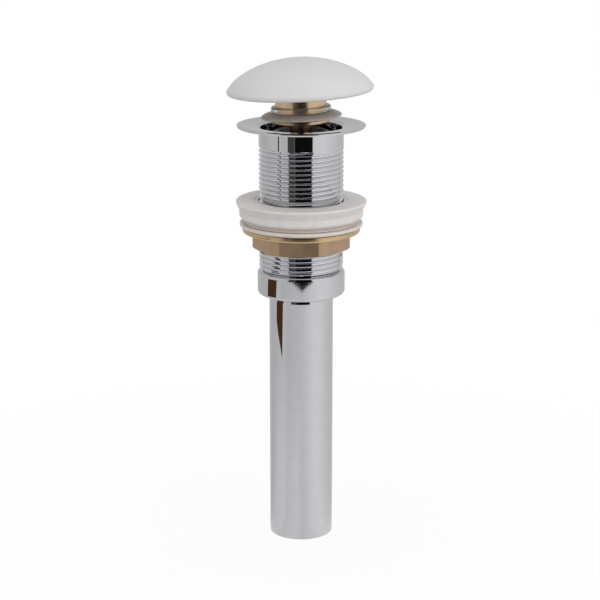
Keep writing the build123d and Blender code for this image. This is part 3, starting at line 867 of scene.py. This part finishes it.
class WASTE_OT_tail(bpy.types.Operator):
    """Chromed tail tube with its flare, and the smooth coupling collar"""

    bl_idname = "waste.tail"
    bl_label = "Tail tube and collar"

    def execute(self, context):
        turned_piece("flared_tail_tube", rounded(TAIL_TUBE), "tail", "chrome", "tail_tube")
        names = ("collar", "chrome", "coupling_collar")
        turned_piece("smooth_coupling_collar", rounded(COLLAR), *names)
        return {"FINISHED"}


# Where the soft rims begin to wave, and over how much, in mm
LIP_FROM, LIP_WIDTH = 15.0, 5.0
RIM_FROM, RIM_WIDTH = 27.0, 5.5
RIM_FOOT, RIM_HEIGHT = -40.8, 4.4


class WASTE_OT_head_seals(bpy.types.Operator):
    """Frosted silicone disc and clear ring under the cap"""

    bl_idname = "waste.head_seals"
    bl_label = "Head seal and neck ring"

    def execute(self, context):
        sizes = context.scene.waste_sizes
        matrix = lean_matrix(sizes)
        wave = sizes.rim_wave / MM

        def lip(r, z, angle):
            """The thin lip waves a little, as a soft edge does."""
            reach = max(0.0, (r - LIP_FROM) / LIP_WIDTH)
            drawn_in = 0.4 * wave * reach * math.sin(2 * angle) ** 2
            lifted = 0.8 * wave * reach * math.sin(3 * angle + 0.6)
            return r - drawn_in, z + lifted

        seal = [*rounded(SEAL_UNDER, closed=False), *SEAL_TOP]
        names = ("head", "clear_silicone", "head_seal")
        turned_piece("frosted_head_seal", seal, *names, shape=lip, matrix=matrix)
        names = ("head", "clear_silicone", "neck_ring")
        turned_piece("clear_neck_ring", rounded(NECK_RING), *names, finish="clear_ring", matrix=matrix)
        return {"FINISHED"}


class WASTE_OT_clamp_set(bpy.types.Operator):
    """Tapered gasket and slip washer under the basin"""

    bl_idname = "waste.clamp_set"
    bl_label = "Gasket and washer"

    def execute(self, context):
        wave = context.scene.waste_sizes.rim_wave / MM

        def slack(r, z, angle):
            """The soft rim hangs a little out of flat, and never above its solid."""
            out = max(0.0, (r - RIM_FROM) / RIM_WIDTH)
            reach = out * max(0.0, (z - RIM_FOOT) / RIM_HEIGHT)
            return r - 0.5 * wave * reach, z - wave * reach * (1.0 + math.sin(2 * angle + 0.9))

        names = ("clamp", "milky_silicone", "tapered_gasket")
        turned_piece("soft_tapered_gasket", rounded(GASKET), *names, shape=slack)
        names = ("clamp", "white_plastic", "slip_washer")
        turned_piece("rounded_slip_washer", rounded(SLIP_WASHER), *names)
        return {"FINISHED"}


WIPER_STEPS = 28  # facets round the wiper ring's section
WIPER_R, WIPER_Z = 6.51, -15.25  # mm, middle of its section
WIPER_SECTION, WIPER_LINE = 0.86, 0.9  # mm from there to its skin, and to the lines that seal


class WASTE_OT_rubber_rings(bpy.types.Operator):
    """Wiper ring of the stem and flat seal of the tail"""

    bl_idname = "waste.rubber_rings"
    bl_label = "Rubber rings"

    def execute(self, context):
        wiper = []
        for step in range(WIPER_STEPS):
            angle = math.tau * step / WIPER_STEPS
            radius = WIPER_LINE if step in (0, WIPER_STEPS // 2) else WIPER_SECTION
            wiper.append((WIPER_R + radius * math.cos(angle), WIPER_Z + radius * math.sin(angle)))
        turned_piece("wiper_ring", wiper, "waste", "black_rubber", "stem_wiper")
        turned_piece("flat_tail_seal", rounded(TAIL_SEAL), "tail", "black_rubber", "tail_seal")
        return {"FINISHED"}


COIL_STEPS = 32  # rings of the wire in each turn
WIRE_FACETS = 12
CLOSED_PITCH = 2.04  # climb of a closed turn, in radii of the wire


class WASTE_OT_spring(bpy.types.Operator):
    """Core spring with closed end turns, made at the CAD spring's length; the real one shortens as the
    cap goes down
    """

    bl_idname = "waste.spring"
    bl_label = "Core spring"

    def execute(self, context):
        sizes = context.scene.waste_sizes
        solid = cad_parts["core_spring"]
        heights = [(solid.matrix_world @ vertex.co).z for vertex in solid.data.vertices]
        low, high = min(heights), max(heights)
        steel = bpy.data.materials["spring_steel"]
        piece = finish_mesh("closed_end_spring", self.coil(sizes, low, high), steel)
        place_piece(piece, "waste", "spring_steel", "core_spring")
        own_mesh(piece)
        return {"FINISHED"}

    def coil(self, sizes, low, high):
        """Round wire along a helix whose first and last turns lie close."""
        wire_r = sizes.spring_wire / 2
        mean_r = sizes.spring_bore / 2 + wire_r
        turns = sizes.spring_turns
        closed = CLOSED_PITCH * wire_r
        opened = (high - low - 2 * wire_r - 2 * closed) / (turns - 2)
        bm = bmesh.new()
        rings = []
        for step in range(turns * COIL_STEPS + 1):
            turn = step / COIL_STEPS
            z = low + wire_r + closed * min(turn, 1.0) + closed * max(turn - turns + 1, 0.0)
            z += opened * min(max(turn - 1.0, 0.0), turns - 2)
            out = Vector((math.cos(math.tau * turn), math.sin(math.tau * turn), 0.0))
            ring = []
            for facet in range(WIRE_FACETS):
                angle = math.tau * facet / WIRE_FACETS
                spot = out * (mean_r + wire_r * math.cos(angle))
                spot.z = z + wire_r * math.sin(angle)
                ring.append(bm.verts.new(spot))
            rings.append(ring)
        skin_rings(bm, rings)
        return bm


class WASTE_OT_finishes(bpy.types.Operator):
    """Materials of every surface, given to the CAD pieces that stay"""

    bl_idname = "waste.finishes"
    bl_label = "Finishes"

    def execute(self, context):
        sizes = context.scene.waste_sizes
        colours = context.scene.waste_colours
        lean = (sizes.head_lean, sizes.lean_height)
        # The CAD colours give up their names, which the finishes below take
        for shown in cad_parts.values():
            for holder in shown.material_slots:
                holder.material.name = "cad_" + shown.name
        chrome_finish(colours)
        brass = brass_finish(colours)
        head_brass = brass_finish(colours, "head_brass", *lean)
        silicone_finish("clear_silicone", colours.clear_silicone, 0.5, 0.3, *lean)
        silicone_finish("clear_ring", colours.clear_ring, 0.94, 0.07, *lean)
        milky = colours.milky_silicone
        # The gasket's foot gets painted shade and painted brass-coloured light
        silicone_finish("milky_silicone", milky, 0.08, 0.38, painted_shade_below=GASKET_PAINTED_SHADE_BELOW)
        plastic_finish("white_plastic", colours.white_plastic, 0.28, 0.2)
        rubber_finish(colours)
        worn = {
            "back_nut": satin_brass_finish(colours),
            "ceramic_cap": ceramic_finish(colours, *lean),
            "cap_insert": head_brass,
            "seal_carrier": head_brass,
            "plunger": brass,
            "core_sleeve": brass,
            "core_gland": brass,
            "core_stud": brass,
            "core_washer": bpy.data.materials["white_plastic"],
            "index_crown": plastic_finish("grey_acetal", colours.grey_acetal, 0.3),
            "index_rotor": plastic_finish("white_acetal", colours.white_acetal, 0.3),
            "rotor_clip": spring_finish(colours),
        }
        for node, material in worn.items():
            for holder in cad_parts[node].material_slots:
                holder.material = material
        return {"FINISHED"}


# Stage

# Bearings are in degrees from the camera's side, negative to the left, and places in metres
CAMERA_PLACE = (-0.0006, -0.843, 0.137)
CAMERA_DROP = 14.95  # degrees that it looks down
CAMERA_LENS = 103.92  # mm on a 36 mm sensor
LAMP_AIM = (0.0, 0.0, -0.06)
AMBIENT = 0.76  # share of the white world that lights the object
FLOOR_SIDE = 4.0
FLOOR_DROP = 0.00005  # below the tube's end
FLOOR_FADE = (0.03, 0.3, 0.95, 1.0)  # near and far distance, then the white share at each
ROOM_RADIUS, ROOM_EAVES, ROOM_BEND, ROOM_TOP = 500.0, 450.0, 200.0, 700.0  # mm
OPENING = (-17.5, 30.5)
OPENING_SOFT = 1.2
DIM_SIDE = -36.0
DIM_SHARE, DARK_SHARE = 0.9, 0.992  # light that the dim side and the opening take away
SILL = (-0.2032, -0.2024)
SILL_FALL = 0.00027  # down for each degree from its middle
SILL_MIDDLE = 2.0
LINTEL = (0.5, 0.62)
NEAR_GLOW = (-110.0, -4.0)  # brighter floor close by on the left
NEAR_SOFT = 12.0
NEAR_REACH = (0.34, 0.12)
NEAR_GAIN = 0.16
CARD_REACH = 0.33
CARD_COLOUR = (0.085, 0.042, 0.02, 1.0)

# Bearing and height in mm of the side card's corners
SIDE_CARD = (
    (-60.0, -40.0),
    (-60.0, -120.0),
    (-67.0, -162.0),
    (-72.0, -211.0),
    (-78.0, -205.0),
    (-99.0, -185.0),
    (-95.0, -150.0),
    (-64.5, -125.0),
    (-63.6, -40.0),
)

# Bearing and brightness of the room. The first two are the ends that a colour ramp starts with
ROOM_LIGHT = (
    (-180.0, 0.58),
    (180.0, 0.58),
    (-145.0, 0.64),
    (-112.0, 0.66),
    (-85.0, 0.74),
    (-60.0, 0.76),
    (-48.0, 0.70),
    (0.0, 0.79),
    (22.0, 0.90),
    (45.0, 1.0),
    (65.0, 1.0),
    (90.0, 0.90),
    (120.0, 0.78),
    (142.0, 0.70),
)


class WASTE_OT_stage(bpy.types.Operator):
    """Floor, soft lamps, the pale room and dark card that the metal reflects, and the camera"""

    bl_idname = "waste.stage"
    bl_label = "Stage"

    def execute(self, context):
        scene = context.scene
        scene.view_settings.view_transform = "Standard"
        self.make_world(scene)
        self.make_floor(scene)
        self.make_room()
        self.make_side_card()
        self.lamp("key_light", (0.75, -0.85, 0.65), size=1.0, power=6.5)
        self.lamp("left_light", (-0.95, -0.5, 0.45), size=0.8, power=1.2)
        camera = bpy.data.objects.new("camera", bpy.data.cameras.new("camera"))
        camera.data.lens = CAMERA_LENS
        camera.data.sensor_width = 36.0
        camera.location = CAMERA_PLACE
        camera.rotation_euler = (math.radians(90.0 - CAMERA_DROP), 0.0, 0.0)
        scene.collection.objects.link(camera)
        scene.camera = camera
        return {"FINISHED"}

    def make_world(self, scene):
        """White backdrop, which lights the object a little less brightly than it looks."""
        world = bpy.data.worlds.new("white_room")
        world.use_nodes = True
        bench = NodeBench(world.node_tree)
        path = bench.tree.nodes.new("ShaderNodeLightPath").outputs
        seen = bench.calc("MAXIMUM", path["Is Camera Ray"], path["Is Glossy Ray"])
        seen = bench.calc("MAXIMUM", seen, path["Is Transmission Ray"])
        background = world.node_tree.nodes["Background"]
        background.inputs["Color"].default_value = (1.0, 1.0, 1.0, 1.0)
        strength = bench.calc("MULTIPLY_ADD", seen, 1.0 - AMBIENT, AMBIENT)
        bench.feed(background.inputs["Strength"], strength)
        scene.world = world

    def room_bearing(self, bench):
        """Bearing of a point of the stage, its distance from the upright axis and its height."""
        x, y, z = bench.parts(bench.add("ShaderNodeTexCoord", outlet="Object"))
        turn = bench.calc("ARCTAN2", x, bench.calc("MULTIPLY", y, -1.0))
        return bench.calc("MULTIPLY", turn, 180.0 / math.pi), bench.reach(x, y), z

    def room_light(self, bench, bearing):
        """How bright the room is all round, brightest at the window on the right."""
        ramp = bench.tree.nodes.new("ShaderNodeValToRGB")
        bench.feed(ramp.inputs[0], bench.remap(bearing, -180.0, 180.0))
        stops = ramp.color_ramp.elements
        for index, (place, level) in enumerate(ROOM_LIGHT):
            spot = (place + 180.0) / 360.0
            if index < 2:
                stop = stops[index]
                stop.position = spot
            else:
                stop = stops.new(spot)
            stop.color = (level, level, level, 1.0)
        return ramp.outputs[0]

    def make_floor(self, scene):
        """Pale floor that fades to white and keeps a soft shadow."""
        mesh = bpy.data.meshes.new("floor")
        side, z = FLOOR_SIDE, FLOOR_Z - FLOOR_DROP
        corners = [(-side, -side, z), (side, -side, z), (side, side, z), (-side, side, z)]
        mesh.from_pydata(corners, [], [(0, 1, 2, 3)])
        floor = bpy.data.objects.new("floor", mesh)
        scene.collection.objects.link(floor)
        material = bpy.data.materials.new("floor")
        material.use_nodes = True
        bench = NodeBench(material.node_tree)
        paper = bench.tree.nodes["Principled BSDF"]
        paper.inputs["Base Color"].default_value = (*scene.waste_colours.stage_white, 1.0)
        paper.inputs["Roughness"].default_value = 0.9
        paper.inputs["Specular IOR Level"].default_value = 0.1
        path = bench.tree.nodes.new("ShaderNodeLightPath").outputs
        mirrored = path["Is Glossy Ray"]
        bearing, reach, _ = self.room_bearing(bench)
        direct = bench.calc("MAXIMUM", path["Is Camera Ray"], path["Is Transmission Ray"])
        direct = bench.calc("MULTIPLY", direct, bench.remap(reach, *FLOOR_FADE))
        beside = bench.window(bearing, *NEAR_GLOW, NEAR_SOFT)
        near = bench.calc("MULTIPLY", beside, bench.remap(reach, *NEAR_REACH))
        raised = bench.calc("MULTIPLY_ADD", near, NEAR_GAIN, 1.0)
        level = bench.calc("MULTIPLY", self.room_light(bench, bearing), raised)
        strength = bench.calc("MULTIPLY_ADD", mirrored, bench.calc("SUBTRACT", level, 1.0), 1.0)
        glow = bench.add("ShaderNodeEmission", {"Color": (1.0, 1.0, 1.0, 1.0), "Strength": strength})
        share = bench.calc("MAXIMUM", direct, mirrored)
        mixed = bench.add("ShaderNodeMixShader", {0: share, 1: paper.outputs[0], 2: glow})
        bench.feed(bench.tree.nodes["Material Output"].inputs["Surface"], mixed)
        mesh.materials.append(material)

    def reflected_only(self, piece, through=False):
        """Keeps a stage piece to what polished surfaces show, and clear ones if asked."""
        piece.visible_camera = False
        piece.visible_diffuse = False
        piece.visible_transmission = through
        piece.visible_volume_scatter = False
        piece.visible_shadow = False

    def glow_material(self, name):
        """Emission material and its bench."""
        material = bpy.data.materials.new(name)
        material.use_nodes = True
        bench = NodeBench(material.node_tree)
        glow = bench.tree.nodes.new("ShaderNodeEmission")
        bench.feed(bench.tree.nodes["Material Output"].inputs["Surface"], glow.outputs[0])
        return material, bench, glow

    def make_room(self):
        """Pale room round the object, with the dark opening that the camera looks through."""
        foot = (ROOM_RADIUS, FLOOR_Z / MM - 1.0, 0)
        eaves = (ROOM_RADIUS, ROOM_EAVES, ROOM_BEND)
        wall = rounded([foot, eaves, (0.0, ROOM_TOP, 0)], closed=False, steps=10)
        material, b, glow = self.glow_material("room_wall")
        bm = bmesh.new()
        add_turned(bm, wall, closed=False, segments=COARSE_ROUND)
        room = finish_mesh("room_wall", bm, material)
        bearing, _, z = self.room_bearing(b)
        off_middle = b.calc("ABSOLUTE", b.calc("SUBTRACT", bearing, SILL_MIDDLE))
        above = b.remap(b.calc("MULTIPLY_ADD", off_middle, -SILL_FALL, z), *SILL, kind="SMOOTHSTEP")
        opening = b.calc("MULTIPLY", above, b.remap(z, *LINTEL, 1.0, 0.0, kind="SMOOTHSTEP"))
        dark = b.calc("MULTIPLY", b.window(bearing, *OPENING, OPENING_SOFT), opening)
        dim = b.calc("MULTIPLY", b.window(bearing, DIM_SIDE, OPENING[0], OPENING_SOFT), opening)
        level = self.room_light(b, bearing)
        for mask, share in ((dim, DIM_SHARE), (dark, DARK_SHARE)):
            level = b.calc("MULTIPLY", level, b.calc("MULTIPLY_ADD", mask, -share, 1.0))
        b.feed(glow.inputs["Strength"], level)
        self.reflected_only(room, through=True)

    def make_side_card(self):
        """Narrow dark-brown upright on the left that chrome shows as a thin dark band."""
        material, _, glow = self.glow_material("side_card")
        glow.inputs["Color"].default_value = CARD_COLOUR
        corners = []
        for bearing, z in SIDE_CARD:
            angle = math.radians(bearing)
            corners.append((CARD_REACH * math.sin(angle), -CARD_REACH * math.cos(angle), z * MM))
        mesh = bpy.data.meshes.new("side_card")
        mesh.from_pydata(corners, [], [tuple(range(len(corners)))])
        mesh.materials.append(material)
        card = bpy.data.objects.new("side_card", mesh)
        bpy.context.scene.collection.objects.link(card)
        self.reflected_only(card)

    def lamp(self, name, place, size, power):
        """Large soft lamp aimed at the middle of the object, left out of sharp reflections."""
        light = bpy.data.lights.new(name, "AREA")
        light.shape = "DISK"
        light.size = size
        light.energy = power
        lamp = bpy.data.objects.new(name, light)
        lamp.location = place
        aim = Vector(LAMP_AIM) - Vector(place)
        lamp.rotation_euler = aim.to_track_quat("-Z", "Y").to_euler()
        lamp.visible_glossy = False
        bpy.context.scene.collection.objects.link(lamp)


STEPS = (
    WASTE_OT_finishes,
    WASTE_OT_body,
    WASTE_OT_tail,
    WASTE_OT_head_seals,
    WASTE_OT_clamp_set,
    WASTE_OT_rubber_rings,
    WASTE_OT_spring,
    WASTE_OT_stage,
)


class WASTE_PT_panel(bpy.types.Panel):
    """Sidebar panel that lists the steps"""

    bl_idname = "WASTE_PT_panel"
    bl_label = "Basin waste"
    bl_space_type = "VIEW_3D"
    bl_region_type = "UI"
    bl_category = "Basin waste"

    def draw(self, context):
        for step in STEPS:
            self.layout.operator(step.bl_idname)
        for group in (context.scene.waste_sizes, context.scene.waste_colours):
            box = self.layout.box()
            for name in group.bl_rna.properties.keys():
                if name not in ("rna_type", "name"):
                    box.prop(group, name)


CLASSES = (WasteSizes, WasteColours, *STEPS, WASTE_PT_panel)


def register():
    for item in CLASSES:
        bpy.utils.register_class(item)
    bpy.types.Scene.waste_sizes = PointerProperty(type=WasteSizes)
    bpy.types.Scene.waste_colours = PointerProperty(type=WasteColours)


def unregister():
    del bpy.types.Scene.waste_colours
    del bpy.types.Scene.waste_sizes
    for item in reversed(CLASSES):
        bpy.utils.unregister_class(item)


def main():
    """Makes every piece in order."""
    register()
    bpy.ops.waste.finishes()
    bpy.ops.waste.body()
    bpy.ops.waste.tail()
    bpy.ops.waste.head_seals()
    bpy.ops.waste.clamp_set()
    bpy.ops.waste.rubber_rings()
    bpy.ops.waste.spring()
    bpy.ops.waste.stage()


if __name__ == "__main__":
    main()
